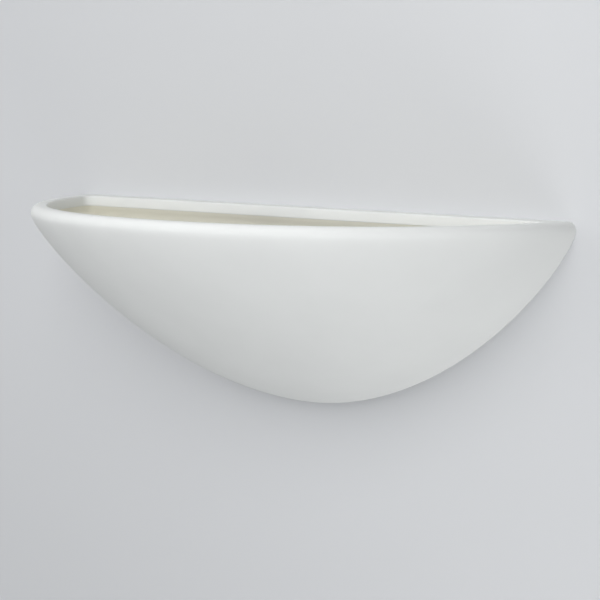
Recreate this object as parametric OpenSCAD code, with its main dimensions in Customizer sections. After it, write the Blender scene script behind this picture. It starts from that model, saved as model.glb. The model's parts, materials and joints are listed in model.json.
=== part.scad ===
// Uplighter wall sconce: a cast half-bowl shell that hangs on a pressed wall bracket,
// with an E27 lampholder on an arm, its wiring and a golf-ball lamp.
// The wall is the plane y = 0, the room is towards -Y, and the origin is midway
// between the two wall screws. "Depth" means the distance out from the wall.

/* [Shell] */
// Width of the shell along the wall
shell_w = 380; // [330:1:450]
// Projection of the shell from the wall
shell_d = 147; // [125:1:180]
// Height of the shell from rim to lowest point
shell_h = 118; // [106:1:150]
// Height of the rim above the line of the wall screws
rim_z = 51; // [49:1:60]
// Thickness of the bowl below the rim band
wall_t = 6; // [4:0.1:9]
// Thickness of the rim band round the front
rim_t = 9.8; // [8:0.1:14]
// Height of the rim band and of the back bar
band_h = 6.5; // [4:0.1:12]
// Thickness of the back bar along the wall
bar_t = 10.5; // [7:0.1:12]
// Thickness of the back wall below the bar
back_t = 5; // [4:0.1:6.5]
// Radius of the rim's outer lip
lip_r = 5; // [2:0.1:7]
// Height over which the bowl turns from upright below the lip
lip_blend = 2; // [0.5:0.1:5]
// Rounding of the inner corners where the rim band meets the back bar
corner_r = 8; // [4:0.5:14]

/* [Shell curves] */
// Lean of the shell's ends at the wall, in degrees
end_lean = -8; // [-15:1:5]
// Straightness of the plan outline at the wall end
end_pull = 63; // [40:1:80]
// Straightness of the plan outline at the nose
nose_pull = 135; // [90:1:150]
// How early the ends turn under, larger is later
end_taper = 1.22; // [1.1:0.01:1.6]
// How full the ends stay towards the bottom
end_fullness = 1.9; // [1.6:0.01:2.2]
// How early the nose turns under, larger is later
nose_taper = 1.12; // [1:0.01:1.4]
// How full the nose stays towards the bottom
nose_fullness = 1.45; // [1.3:0.01:2]

/* [Bracket] */
// Length of the wall bracket
bracket_w = 196; // [190:1:230]
// Height of the wall bracket
bracket_h = 40; // [38:1:44]
// Thickness of the bracket's steel sheet
sheet_t = 1.5; // [1:0.1:2]
// Width of each hook lug
lug_w = 18; // [12:1:24]
// Height of each hook lug above the ledge
lug_h = 8; // [6:0.5:9]
// Distance of each hook lug from the middle
lug_x = 48; // [42:1:58]
// Distance of each wall screw from the middle
screw_x = 85; // [82:1:86]
// Diameter of each wall screw hole
screw_d = 5.2; // [4:0.1:6]
// Flat radius of the pressed dimple round each wall screw
dimple_r = 6.5; // [6:0.1:7]

/* [Lampholder] */
// Depth of the lamp's axis
lamp_depth = 52; // [48:1:56]
// Height of the lamp's axis above the wall screws
lamp_z = 9; // [8:1:10]
// Place of the arm's outer face along the wall
arm_x = -62; // [-64:1:-60]
// Width of the arm
arm_w = 20; // [18:1:22]
// Length of the arm's foot along the bracket
foot_l = 15; // [12:1:16]
// Diameter of the arm's rivets
rivet_d = 3.2; // [2.4:0.1:4]
// Outer diameter of the threaded nipple
nipple_d = 10; // [9:0.5:10.5]
// Bore of the threaded nipple
nipple_bore = 8; // [7:0.5:8.5]
// Outer diameter of the lampholder
holder_d = 39.2; // [38:0.1:42]
// Length of the lampholder from the arm
holder_l = 54; // [52:1:56]

/* [Lamp] */
// Diameter of the lamp's globe
globe_d = 45; // [40:1:50]
// Length of the lamp from tip to globe
lamp_l = 78; // [74:1:82]
// Diameter over the lamp cap's thread
cap_d = 26.2; // [25.8:0.1:26.4]
// Wall of the globe
globe_t = 1.2; // [0.8:0.1:2]

/* [Wiring] */
// Place of the cable hole along the wall
cable_x = 0; // [-6:1:4]
// Diameter of the grommet's bore
cable_bore = 8; // [6:0.5:10]
// Place of the terminal strip along the wall
strip_x = 48; // [46:1:50]
// Distance between two ways of the terminal strip
way_pitch = 10; // [9:0.5:10.5]
// Diameter of the insulated leads
lead_d = 2.2; // [1.6:0.1:2.4]
// Outer diameter of the sleeve over the two leads
sleeve_d = 6; // [5.6:0.1:6.4]
// Place of the earth point along the wall
earth_x = 21; // [20:1:22]

/* [Fits] */
// Gap between the shell and the bracket's ledge
seat_gap = 0.3; // [0:0.1:0.5]
// Gap between the shell's back wall and the hook lugs
lug_gap = 0.6; // [0.4:0.1:1]
// Gap between the shell's window and the bracket's ends
window_gap = 6; // [4:0.5:8]
// Radial clearance of shafts, rivets and screws in their holes
fit_gap = 0.05; // [0.02:0.01:0.1]
// Radial clearance between the lamp cap and the screw shell
thread_gap = 0.4; // [0.3:0.05:0.6]

/* [Hidden] */

// How finely the shell is divided: steps along half its outline, and rows down it
half_steps = 24;
corner_steps = 4;
outer_rows = 20;
inner_rows = 16;
lip_rows = 4;
// Round solids are drawn with this many sides
round_sides = 72;
// Sides and rings per span of the swept leads
lead_sides = 8;
span_rings = 5;

white = [0.93, 0.93, 0.92];
steel = [0.78, 0.79, 0.8];
nickel = [0.72, 0.71, 0.68];
brass = [0.8, 0.66, 0.36];
black = [0.1, 0.1, 0.11];

half_w = shell_w / 2;
bottom_z = rim_z - shell_h;

// The bracket's web stands off the wall so that its lugs hook behind the shell's back wall
web_back = back_t + lug_gap;
web_front = web_back + sheet_t;
ledge_z = bracket_h / 2;
lift_clear = lug_h + 2;
window_top = ledge_z + seat_gap;
window_bottom = -ledge_z - lift_clear;
window_half = bracket_w / 2 + window_gap;
window_corner = window_gap - 1;
lug_relief = 1;

// The lampholder's parts are placed by their distance along the lamp's axis from the arm
arm_face = arm_x + sheet_t;
holder_r = holder_d / 2;
cap_l = 22;
spigot_l = 6.5;
insert_from = 20;
insert_to = 28.2;
holder_wall = 2;
spigot_gap = 0.1;
spigot_r = holder_r - holder_wall - spigot_gap;
insert_r = spigot_r - 1.2;
skirt_r = insert_r - 0.9;
tip_at = 31;
lamp_r = cap_d / 2;
lamp_end = tip_at + lamp_l;
cap_end = tip_at + 20;
globe_r = globe_d / 2;
globe_mid = lamp_end - globe_r;
board_at = globe_mid - 8;
metal_t = 0.5;
nipple_back = 7.5;
nipple_front = 9;
washer_t = 0.8;
nut_af = 13;
nut_t = 3;

strip_l = 3 * way_pitch + 1;
strip_h = 17;
strip_depth = 13;
tube_d = 6;
tube_l = 15;
tube_bore = 3.2;
tube_depth = web_front + 5.5;
clamp_screw_z = 4.2;
earth_z = -8;
m3_d = 3;
m4_d = 4;

// ---- helpers -------------------------------------------------------------------

// Raises a drawing of the wall plane (x, z) into a plate from one depth to another
module plate(from, to) {
    translate([0, -from, 0]) rotate([90, 0, 0]) linear_extrude(to - from) children();
}

// Turns a profile of [radius, depth] points about an axis out from the wall
module turned_out(x, z, profile) {
    translate([x, 0, z]) rotate([90, 0, 0]) rotate_extrude($fn = round_sides) polygon(profile);
}

// Turns a profile of [radius, distance from the arm] points about the lamp's axis
module turned_lamp(profile) {
    translate([arm_face, -lamp_depth, lamp_z]) rotate([0, 90, 0])
        rotate_extrude($fn = round_sides) polygon(profile);
}

// A rounded rectangle given by its corners
module round_rect(low, high, r) {
    translate([low.x + r, low.y]) square([high.x - low.x - 2 * r, high.y - low.y]);
    translate([low.x, low.y + r]) square([high.x - low.x, high.y - low.y - 2 * r]);
    for (x = [low.x + r, high.x - r], y = [low.y + r, high.y - r])
        translate([x, y]) circle(r, $fn = 48);
}

function unit(v) = v / norm(v);

function ring_profile(r_in, r_out, from, to) = [[r_in, from], [r_out, from], [r_out, to], [r_in, to]];

// ---- the shell's surface -------------------------------------------------------

// Plan outline: a cubic curve from the right-hand wall end (u = 0) to the nose (u = 1)
plan_ctrl = [
    [half_w, 0],
    [half_w + end_pull * sin(end_lean), -end_pull * cos(end_lean)],
    [nose_pull, -shell_d],
    [0, -shell_d]
];

function plan_at(u) =
    pow(1 - u, 3) * plan_ctrl[0] + 3 * pow(1 - u, 2) * u * plan_ctrl[1]
    + 3 * (1 - u) * pow(u, 2) * plan_ctrl[2] + pow(u, 3) * plan_ctrl[3];

function plan_dir(u) =
    pow(1 - u, 2) * (plan_ctrl[1] - plan_ctrl[0]) + 2 * (1 - u) * u * (plan_ctrl[2] - plan_ctrl[1])
    + pow(u, 2) * (plan_ctrl[3] - plan_ctrl[2]);

// The outline drawn in by a thickness, square to itself
function plan_in(u, t) = let (d = plan_dir(u) / norm(plan_dir(u))) plan_at(u) - t * [-d.y, d.x];

// Where the drawn-in outline is a given depth from the wall
function start_u(t, depth, lo = 0, hi = 0.5, n = 24) =
    n == 0 ? (lo + hi) / 2
    : let (mid = (lo + hi) / 2)
        plan_in(mid, t).y > -depth ? start_u(t, depth, mid, hi, n - 1) : start_u(t, depth, lo, mid, n - 1);

// The outline drawn in by t, from right to left, laid flat at a height
function lip_ring(t, z) =
    mirrored([for (i = [0:half_steps])
        let (p = plan_in(i / half_steps, t)) [p.x, i == 0 ? 0 : min(p.y, 0), z]]);

// The inside of the rim band and the back bar, with its corners rounded
function band_ring(z) =
    let (
        u0 = start_u(rim_t, bar_t),
        u1 = u0 + corner_r / (3 * norm(plan_dir(u0))),
        corner = [plan_in(u0, rim_t).x, -bar_t, z],
        curve = [for (i = [0:half_steps - corner_steps])
            let (p = plan_in(u1 + (1 - u1) * i / (half_steps - corner_steps), rim_t)) [p.x, p.y, z]]
    )
    mirrored(concat(rounded(corner, curve[0], corner_r), curve));

// Points round a corner, from the back edge up to the point where a curve goes on
function rounded(corner, leave, r) =
    [for (i = [0:corner_steps - 1])
        let (t = i / corner_steps)
        pow(1 - t, 2) * (corner - [r, 0, 0]) + 2 * t * (1 - t) * corner + pow(t, 2) * leave];

// How far the outline has shrunk, sideways and forwards, at a share of the way down
function turned_in(s) = pow(s, 2) / (s + blend_share) * (1 + blend_share);
function side_scale(s) = pow(1 - pow(turned_in(s), end_taper), 1 / end_fullness);
function nose_scale(s) = pow(1 - pow(turned_in(s), nose_taper), 1 / nose_fullness);

// Share of the way down of a row, so that the rows shrink in even steps of an arc
function row_share(k) = pow(1 - pow(cos(90 * k), end_fullness), 1 / end_taper);

// A point of the outer skin: u runs round the outline, s runs down from the lip
function skin_at(u, s) =
    let (p = plan_at(u)) [p.x * side_scale(s), p.y * nose_scale(s), lip_z + (bottom_z - lip_z) * s];

// The inner skin lies the wall's thickness inside the outer one, square to it
function lining_at(u, s) =
    let (
        e = 0.0005,
        along = skin_at(u + e, s) - skin_at(u - e, s),
        down = skin_at(u, min(s + e, 1)) - skin_at(u, max(s - e, 0))
    )
    skin_at(u, s) - wall_t * unit(cross(along, down));

// Where a row of the inner skin meets the back wall, and where the whole skin ends there
function lining_start(s, lo = 0, hi = 1, n = 24) =
    n == 0 ? hi
    : let (mid = (lo + hi) / 2)
        lining_at(mid, s).y > -back_t ? lining_start(s, mid, hi, n - 1) : lining_start(s, lo, mid, n - 1);
function lining_foot(lo = 0.5, hi = 1, n = 24) =
    n == 0 ? lo
    : let (mid = (lo + hi) / 2)
        lining_at(1, mid).y < -back_t ? lining_foot(mid, hi, n - 1) : lining_foot(lo, mid, n - 1);

function mirrored(half) =
    concat(half, [for (i = [len(half) - 2:-1:0]) [-half[i].x, half[i].y, half[i].z]]);

function skin_row(s) = mirrored([for (i = [0:half_steps]) skin_at(i / half_steps, s)]);

// A row of the lining, whose corners are rounded less towards the foot of the bowl
function lining_row(s) =
    let (
        u0 = lining_start(s),
        p0 = lining_at(u0, s),
        corner = [p0.x, -back_t, p0.z],
        speed = norm(lining_at(u0 + 0.001, s) - p0) / 0.001,
        r = min(corner_r * (1 - s), 0.3 * p0.x, 0.35 * (1 - u0) * speed),
        u1 = u0 + r / speed,
        run = half_steps - corner_steps,
        curve = [for (i = [0:run])
            let (p = lining_at(u1 + (1 - u1) * i / run, s))
            [i == run ? 0 : p.x, min(p.y, -back_t), p.z]]
    )
    mirrored(concat(rounded(corner, curve[0], r), curve));

function flat(ring, z) = [for (p = ring) [p.x, p.y, z]];

lip_z = rim_z - lip_r;
blend_share = lip_blend / (lip_z - bottom_z);
band_z = rim_z - band_h;
lining_top = (band_h - lip_r + wall_t * 0.6) / (shell_h - lip_r);
lining_end = lining_foot();

// Rings of points from the lowest row outside, over the rim, to the lowest row inside
function shell_rings() = concat(
    [for (k = [outer_rows - 1:-1:0]) skin_row(row_share(k / outer_rows))],
    [for (k = [1:lip_rows])
        let (a = 90 * k / lip_rows)
        lip_ring(lip_r * (1 - cos(a)), lip_z + lip_r * sin(a))],
    [band_ring(rim_z), band_ring(band_z)],
    [flat(lining_row(lining_top), band_z)],
    [for (k = [0:inner_rows - 1])
        lining_row(lining_top + (lining_end - lining_top) * row_share(k / inner_rows))]
);

module bowl() {
    rings = shell_rings();
    n = len(rings[0]);
    count = len(rings);
    points = concat([for (r = rings) each r], [[0, 0, bottom_z], lining_at(1, lining_end)]);
    faces = concat(
        [for (k = [0:count - 2], i = [0:n - 1])
            let (j = (i + 1) % n, a = k * n, b = a + n)
            each [[a + i, a + j, b + j], [a + i, b + j, b + i]]],
        [for (i = [0:n - 1]) [(i + 1) % n, i, count * n]],
        [for (i = [0:n - 1])
            let (a = (count - 1) * n)
            [a + i, a + (i + 1) % n, count * n + 1]]
    );
    polyhedron(points, faces);
}

// The window in the back wall takes the bracket, and its top edge rests on the ledge
module shell() {
    color(white) difference() {
        bowl();
        plate(-1, back_t + 1)
            round_rect([-window_half, window_bottom], [window_half, window_top], window_corner);
    }
}

// ---- bracket -------------------------------------------------------------------

dimple_run = 0.6 * web_back;
dimple_rim = dimple_r + dimple_run + 2;
arm_foot_x = arm_x - foot_l / 2 + sheet_t / 2;
rivet_z = [lamp_z - 5.5, lamp_z + 5.5];
block_screw_x = [strip_x - way_pitch / 2, strip_x + way_pitch / 2];
grommet_r = cable_bore / 2 + 2.5;

module dimples() {
    for (x = [-screw_x, screw_x])
        turned_out(x, 0, [
            [screw_d / 2, 0], [dimple_r, 0], [dimple_r + dimple_run, web_back], [dimple_rim, web_back],
            [dimple_rim, web_front], [dimple_r + dimple_run - 0.6, web_front],
            [dimple_r - 0.9, sheet_t], [screw_d / 2, sheet_t]
        ]);
}

module web() {
    difference() {
        union() {
            square([bracket_w, bracket_h], center = true);
            for (x = [-lug_x, lug_x]) {
                translate([x - lug_w / 2, 0]) square([lug_w, ledge_z + lug_h - 3]);
                translate([x - lug_w / 2 + 3, 0]) square([lug_w - 6, ledge_z + lug_h]);
                for (s = [-1, 1])
                    translate([x + s * (lug_w / 2 - 3), ledge_z + lug_h - 3]) circle(3, $fn = 32);
            }
        }
        for (x = [-screw_x, screw_x]) translate([x, 0]) circle(dimple_r + dimple_run, $fn = round_sides);
        translate([cable_x, 0]) circle(grommet_r + fit_gap, $fn = round_sides);
        for (z = rivet_z) translate([arm_foot_x, z]) circle(rivet_d / 2 + fit_gap, $fn = 32);
        for (x = block_screw_x) translate([x, 0]) circle(m3_d / 2 + fit_gap, $fn = 32);
        translate([earth_x, earth_z]) circle(m4_d / 2 + fit_gap, $fn = 32);
    }
}

// Both long edges turn back to the wall, and the upper one is notched beside each lug
module flanges() {
    translate([-bracket_w / 2, -web_front, -ledge_z]) cube([bracket_w, web_front, sheet_t]);
    difference() {
        translate([-bracket_w / 2, -web_front, ledge_z - sheet_t])
            cube([bracket_w, web_front, sheet_t]);
        for (x = [-lug_x, lug_x])
            translate([x - lug_w / 2 - lug_relief, -web_back, ledge_z - 2 * sheet_t])
                cube([lug_w + 2 * lug_relief, web_back + 1, 3 * sheet_t]);
        for (x = [-lug_x, lug_x], edge = [x - lug_w / 2 - lug_relief, x + lug_w / 2])
            translate([edge, -web_front - 1, ledge_z - 2 * sheet_t])
                cube([lug_relief, web_front + 2, 3 * sheet_t]);
    }
}

module wall_bracket() {
    color(steel) union() {
        plate(web_back, web_front) web();
        flanges();
        dimples();
    }
}

// ---- lampholder arm ------------------------------------------------------------

foot_front = web_front + sheet_t;

module holder_arm() {
    color(steel) union() {
        difference() {
            translate([arm_x - foot_l + sheet_t, -foot_front, lamp_z - arm_w / 2])
                cube([foot_l, sheet_t, arm_w]);
            for (z = rivet_z)
                translate([arm_foot_x, 0, z]) rotate([90, 0, 0])
                    cylinder(h = 3 * web_front, d = rivet_d + 2 * fit_gap, $fn = 32);
        }
        difference() {
            union() {
                translate([arm_x, -lamp_depth, lamp_z - arm_w / 2])
                    cube([sheet_t, lamp_depth - web_front, arm_w]);
                translate([arm_x, -lamp_depth, lamp_z]) rotate([0, 90, 0])
                    cylinder(h = sheet_t, d = arm_w, $fn = round_sides);
            }
            translate([arm_x - 1, -lamp_depth, lamp_z]) rotate([0, 90, 0])
                cylinder(h = sheet_t + 2, d = nipple_d + 2 * fit_gap, $fn = round_sides);
        }
    }
}

module arm_rivets() {
    color(nickel) for (z = rivet_z)
        turned_out(arm_foot_x, z, concat(
            [[0, web_back - 1.1], [2.6, web_back - 0.9], [2.9, web_back], [rivet_d / 2, web_back],
             [rivet_d / 2, foot_front], [2.9, foot_front]],
            [for (a = [0:18:90]) [2.9 * cos(a), foot_front + 1.3 * sin(a)]]
        ));
}

// ---- cable entry, terminal strip and earth point --------------------------------

module cable_grommet() {
    lip = 1.5;
    color(black) turned_out(cable_x, 0, [
        [cable_bore / 2, web_back - lip], [grommet_r + 1.8, web_back - lip], [grommet_r + 2.2, web_back],
        [grommet_r, web_back], [grommet_r, web_front], [grommet_r + 2.2, web_front],
        [grommet_r + 1.4, web_front + lip], [cable_bore / 2, web_front + lip]
    ]);
}

way_x = [for (i = [-1:1]) strip_x + i * way_pitch];

module terminal_block() {
    low_depth = 7;
    color([0.9, 0.9, 0.87]) difference() {
        translate([strip_x - strip_l / 2, 0, 0]) rotate([90, 0, 90]) linear_extrude(strip_l) polygon([
            [-web_front, -strip_h / 2], [-web_front, strip_h / 2],
            [-web_front - low_depth, strip_h / 2], [-web_front - low_depth - 1, strip_h / 2 - 1.5],
            [-web_front - strip_depth, strip_h / 2 - 1.5], [-web_front - strip_depth, 1.5 - strip_h / 2],
            [-web_front - low_depth - 1, 1.5 - strip_h / 2], [-web_front - low_depth, -strip_h / 2]
        ]);
        for (x = way_x) {
            translate([x, -tube_depth, -strip_h]) cylinder(h = 2 * strip_h, d = tube_d + 0.1, $fn = 48);
            for (s = [-1, 1])
                translate([x, -tube_depth, s * clamp_screw_z]) rotate([90, 0, 0])
                    cylinder(h = 2 * strip_depth, d = 4.2, $fn = 32);
        }
        for (x = block_screw_x) {
            translate([x, 1, 0]) rotate([90, 0, 0])
                cylinder(h = 3 * strip_depth, d = m3_d + 2 * fit_gap, $fn = 32);
            for (s = [-1, 1])
                translate([x - 0.6, -web_front - strip_depth - 1, s * (strip_h / 2 - 1.5) - 2])
                    cube([1.2, strip_depth - 2, 4]);
            translate([x - 0.6, -web_front - strip_depth - 1, -strip_h / 2])
                cube([1.2, 3, strip_h]);
            translate([x, -web_front - 9, 0]) rotate([90, 0, 0])
                cylinder(h = strip_depth, d = 3.9, $fn = 32);
        }
    }
}

module terminal_tubes() {
    color(brass) for (x = way_x) difference() {
        translate([x, -tube_depth, -tube_l / 2]) cylinder(h = tube_l, d = tube_d, $fn = 48);
        translate([x, -tube_depth, -tube_l]) cylinder(h = 2 * tube_l, d = tube_bore, $fn = 48);
        for (s = [-1, 1])
            translate([x, -tube_depth, s * clamp_screw_z]) rotate([90, 0, 0])
                cylinder(h = tube_d, d = 2.6, $fn = 32);
    }
}

// A slotted screw whose head faces the room: shank from one depth up to its head
module slotted_screw(x, z, d, tip, seat, head_d, head_t) {
    difference() {
        turned_out(x, z, concat(
            [[0, tip], [d / 2 - 0.3, tip], [d / 2, tip + 0.4], [d / 2, seat], [head_d / 2, seat]],
            [for (a = [0:15:45]) [head_d / 2 * cos(a), seat + head_t * sin(a) / sin(45)]],
            [[0, seat + head_t]]
        ));
        translate([x - 0.3, -seat - head_t - 1, z - head_d])
            cube([0.6, 1 + head_t / 2, 2 * head_d]);
    }
}

module terminal_screws() {
    color(nickel) for (x = way_x, s = [-1, 1])
        slotted_screw(x, s * clamp_screw_z, 2.5, tube_depth + 0.8, tube_depth + tube_d / 2 + 1.4, 4, 1.6);
}

module block_screws() {
    color(nickel) for (x = block_screw_x)
        slotted_screw(x, 0, m3_d, web_back - 3.4, web_front + 9, 3.7, 1.8);
}

// Hexagonal nut on a screw out from the wall
module nut_out(x, z, af, d, from, to) {
    translate([x, -from, z]) rotate([90, 0, 0]) difference() {
        cylinder(h = to - from, d = af / cos(30), $fn = 6);
        translate([0, 0, -1]) cylinder(h = to - from + 2, d = d + 2 * fit_gap, $fn = 32);
    }
}

module block_nuts() {
    color(nickel) for (x = block_screw_x) nut_out(x, 0, 5.5, m3_d, web_back - 2.4, web_back);
}

lug_tab_t = 0.8;
lug_barrel_r = lead_d / 2 + 0.7;
earth_stack = web_front + washer_t + lug_tab_t;

module earth_screw() {
    color(nickel) slotted_screw(earth_x, earth_z, m4_d, web_back - 4.2, earth_stack, 7.6, 2.6);
}

// Serrated washer: a ring with a row of teeth round it
module earth_washer() {
    teeth = 12;
    color(nickel) plate(web_front, web_front + washer_t) translate([earth_x, earth_z]) difference() {
        union() {
            circle(3.3, $fn = 48);
            for (i = [0:teeth - 1]) rotate(360 * i / teeth) translate([2.9, -0.4]) square([1.1, 0.8]);
        }
        circle(m4_d / 2 + fit_gap, $fn = 32);
    }
}

module earth_lug() {
    from = web_front + washer_t;
    color(brass) union() {
        plate(from, from + lug_tab_t) translate([earth_x, earth_z]) difference() {
            union() {
                circle(4.2, $fn = 48);
                translate([-1.8, 0]) square([3.6, 7]);
            }
            circle(m4_d / 2 + fit_gap, $fn = 32);
        }
        translate([earth_x, -from - lug_barrel_r, earth_z + 6]) difference() {
            cylinder(h = 6, r = lug_barrel_r, $fn = 48);
            translate([0, 0, 1]) cylinder(h = 6, d = lead_d + 0.6, $fn = 48);
        }
    }
}

module earth_nut() {
    color(nickel) nut_out(earth_x, earth_z, 7, m4_d, web_back - 3.2, web_back);
}

// ---- lampholder ----------------------------------------------------------------

module nipple() {
    color(steel) turned_lamp(ring_profile(nipple_bore / 2, nipple_d / 2, -nipple_back, nipple_front));
}

module nipple_washer() {
    teeth = 14;
    color(nickel) translate([arm_x - washer_t, -lamp_depth, lamp_z]) rotate([0, 90, 0])
        linear_extrude(washer_t) difference() {
            union() {
                circle(nipple_d / 2 + 1.8, $fn = 48);
                for (i = [0:teeth - 1])
                    rotate(360 * i / teeth) translate([nipple_d / 2 + 1, -0.5]) square([2, 1]);
            }
            circle(nipple_d / 2 + fit_gap, $fn = 48);
        }
}

module nipple_nut() {
    color(nickel) translate([arm_x - washer_t - nut_t, -lamp_depth, lamp_z]) rotate([0, 90, 0])
        difference() {
            cylinder(h = nut_t, d = nut_af / cos(30), $fn = 6);
            translate([0, 0, -1]) cylinder(h = nut_t + 2, d = nipple_d + 2 * fit_gap, $fn = 48);
        }
}

// Upright grip ribs round a holder part, from one distance along the lamp's axis to another
module grip_ribs(from, to) {
    ribs = 28;
    translate([arm_face + from, -lamp_depth, lamp_z]) rotate([0, 90, 0])
        for (i = [0:ribs - 1])
            rotate(360 * i / ribs) linear_extrude(to - from)
                polygon([[holder_r - 0.6, -1.1], [holder_r + 0.7, -0.5], [holder_r + 0.7, 0.5],
                    [holder_r - 0.6, 1.1]]);
}

// Domed rear cap that screws onto the nipple and takes the skirt's spigot
module holder_cap() {
    hub_r = nipple_d / 2 + fit_gap;
    hub_wall = 2.5;
    dome_l = 12;
    dome_r = 8;
    flat_r = holder_r - dome_r;
    inner_flat_r = flat_r - holder_wall;
    color(black) union() {
        turned_lamp(concat(
            [[hub_r, 0], [flat_r, 0]],
            [for (a = [0:15:90]) [flat_r + dome_r * sin(a), dome_l * (1 - cos(a))]],
            [[holder_r, cap_l], [holder_r - holder_wall, cap_l]],
            [for (a = [90:-15:0])
                [inner_flat_r + dome_r * sin(a), dome_l + 1.5 - (dome_l - 1) * cos(a)]],
            [[hub_r + hub_wall, hub_wall], [hub_r + hub_wall, nipple_front], [hub_r, nipple_front]]
        ));
        grip_ribs(dome_l, cap_l - 1.5);
    }
}

module holder_skirt() {
    flare = 0.8;
    color(black) union() {
        turned_lamp([
            [insert_r + spigot_gap, cap_l - spigot_l], [spigot_r, cap_l - spigot_l],
            [spigot_r, cap_l], [holder_r, cap_l], [holder_r, holder_l - 6],
            [holder_r + flare, holder_l - 4], [holder_r + flare, holder_l - 0.6],
            [holder_r + flare - 0.6, holder_l], [skirt_r, holder_l], [skirt_r, insert_to],
            [insert_r + spigot_gap, insert_to]
        ]);
        grip_ribs(cap_l + 1.5, holder_l - 8);
    }
}

contact_screw_r = 9;

module holder_insert() {
    color(white) difference() {
        turned_lamp(ring_profile(0, insert_r, insert_from, insert_to));
        for (s = [-1, 1])
            translate([arm_face + insert_from - 1, -lamp_depth, lamp_z + s * contact_screw_r])
                rotate([0, 90, 0]) cylinder(h = 20, d = m3_d + 2 * fit_gap, $fn = 32);
    }
}

sleeve_r = lamp_r + thread_gap;

module holder_screw_shell() {
    color(brass) turned_lamp([
        [7, insert_to], [sleeve_r + metal_t, insert_to], [sleeve_r + metal_t, holder_l - 3.5],
        [sleeve_r, holder_l - 3.5], [sleeve_r, insert_to + metal_t], [7, insert_to + metal_t]
    ]);
}

// Springy tongue: flat on the insert, then raised to meet the lamp's tip
module holder_centre_contact() {
    rise = tip_at - insert_to - seat_gap;
    w = 4.5;
    color(brass) translate([arm_face + insert_to, -lamp_depth + w / 2, lamp_z]) rotate([90, 0, 0])
        linear_extrude(w) polygon([
            [0, -5.5], [metal_t, -5.5], [metal_t, -3.2], [rise, -1], [rise, 3], [rise - metal_t, 3],
            [rise - metal_t, -0.7], [0.1, -2.7]
        ]);
}

module holder_terminal_screws() {
    head_t = 1.8;
    color(nickel) for (s = [-1, 1])
        translate([arm_face, -lamp_depth, lamp_z + s * contact_screw_r]) rotate([0, 90, 0]) difference() {
            rotate_extrude($fn = 48) polygon([
                [0, insert_from - head_t], [2.3, insert_from - head_t], [2.7, insert_from - head_t + 0.5],
                [2.7, insert_from], [m3_d / 2, insert_from], [m3_d / 2, insert_to - 0.3], [0, insert_to - 0.3]
            ]);
            translate([-4, -0.3, insert_from - head_t - 1]) cube([8, 0.6, 1.8]);
        }
}

// ---- leads ---------------------------------------------------------------------

// Route of the sleeve and the pair of leads in it, from the strip to inside the holder
trunk = [
    [26, -14, 24], [8, -14, 25], [-16, -14, 25], [-40, -14, 25], [-60, -15, 25.5], [-74, -21, 26],
    [-84, -34, 23], [-86, -46, 14], [-80, -52, 9.5], [-70, -52, 9], [-62, -52, 9], [-53, -52, 9]
];
lead_side = 1.25;
lead_top = strip_h / 2 - 1.2;

function route_dir(p, i) = unit(p[min(i + 1, len(p) - 1)] - p[max(i - 1, 0)]);
// A direction square to the route, which turns smoothly along it
function route_side(p, i) = let (d = route_dir(p, i)) unit([-d.z, 0, d.x]);
function beside(p, offset) = [for (i = [0:len(p) - 1]) p[i] + offset * route_side(p, i)];

function spline_at(a, b, c, d, t) =
    0.5 * ((2 * b) + (c - a) * t + (2 * a - 5 * b + 4 * c - d) * t * t
    + (3 * b - a - 3 * c + d) * t * t * t);

// A smooth run of points through the route's own points
function smooth(p, steps) =
    concat(
        [for (i = [0:len(p) - 2], k = [0:steps - 1])
            spline_at(p[max(i - 1, 0)], p[i], p[i + 1], p[min(i + 2, len(p) - 1)], k / steps)],
        [p[len(p) - 1]]
    );

// Carries a frame along a path without twisting it
function carried(path, i, side) =
    let (d = route_dir(path, i)) unit(side - (side * d) * d);
function frames(path, i = 0, side = [0, 0, 0]) =
    i == len(path) ? []
    : let (
        d = route_dir(path, i),
        first = abs(d.z) < 0.9 ? cross(d, [0, 0, 1]) : cross(d, [0, 1, 0]),
        s = i == 0 ? unit(first) : carried(path, i, side)
    )
    concat([s], frames(path, i + 1, s));

function sweep_rings(path, r) =
    let (sides = frames(path))
    [for (i = [0:len(path) - 1])
        let (s = sides[i], u = cross(route_dir(path, i), s))
        [for (k = [0:lead_sides - 1])
            let (a = 360 * k / lead_sides) path[i] + r * (cos(a) * s + sin(a) * u)]];

function strip_faces(n, rows, base, flip) =
    [for (k = [0:rows - 2], i = [0:n - 1])
        let (j = (i + 1) % n, a = base + k * n, b = a + n)
        each flip ? [[a + i, a + j, b + j], [a + i, b + j, b + i]]
        : [[a + i, b + j, a + j], [a + i, b + i, b + j]]];

module lead(points) {
    rings = sweep_rings(smooth(points, span_rings), lead_d / 2);
    rows = len(rings);
    n = lead_sides;
    polyhedron(
        [for (r = rings) each r],
        concat(
            strip_faces(n, rows, 0, false),
            [[for (i = [0:n - 1]) i], [for (i = [n - 1:-1:0]) (rows - 1) * n + i]]
        )
    );
}

function end_of(p, target_z) = concat(p, [
    [-50.5, -lamp_depth, lamp_z + sign(target_z) * 2.6],
    [-46.5, -lamp_depth, lamp_z + target_z * 0.75],
    [arm_face + insert_from - 2.2, -lamp_depth, lamp_z + target_z]
]);

module live_lead() {
    color([0.45, 0.27, 0.16]) lead(end_of(concat(
        [[way_x[1], -tube_depth, lead_top], [way_x[1], -tube_depth, 14], [way_x[1] - 5, -13.2, 20.5],
         [way_x[1] - 12, -14, 22.7]],
        beside(trunk, lead_side)
    ), contact_screw_r));
}

module neutral_lead() {
    color([0.2, 0.35, 0.65]) lead(end_of(concat(
        [[way_x[2], -tube_depth, lead_top], [way_x[2], -tube_depth, 15], [way_x[2] - 5, -13.2, 22.5],
         [way_x[2] - 14, -14, 25.2]],
        beside(trunk, -lead_side)
    ), -contact_screw_r));
}

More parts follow.
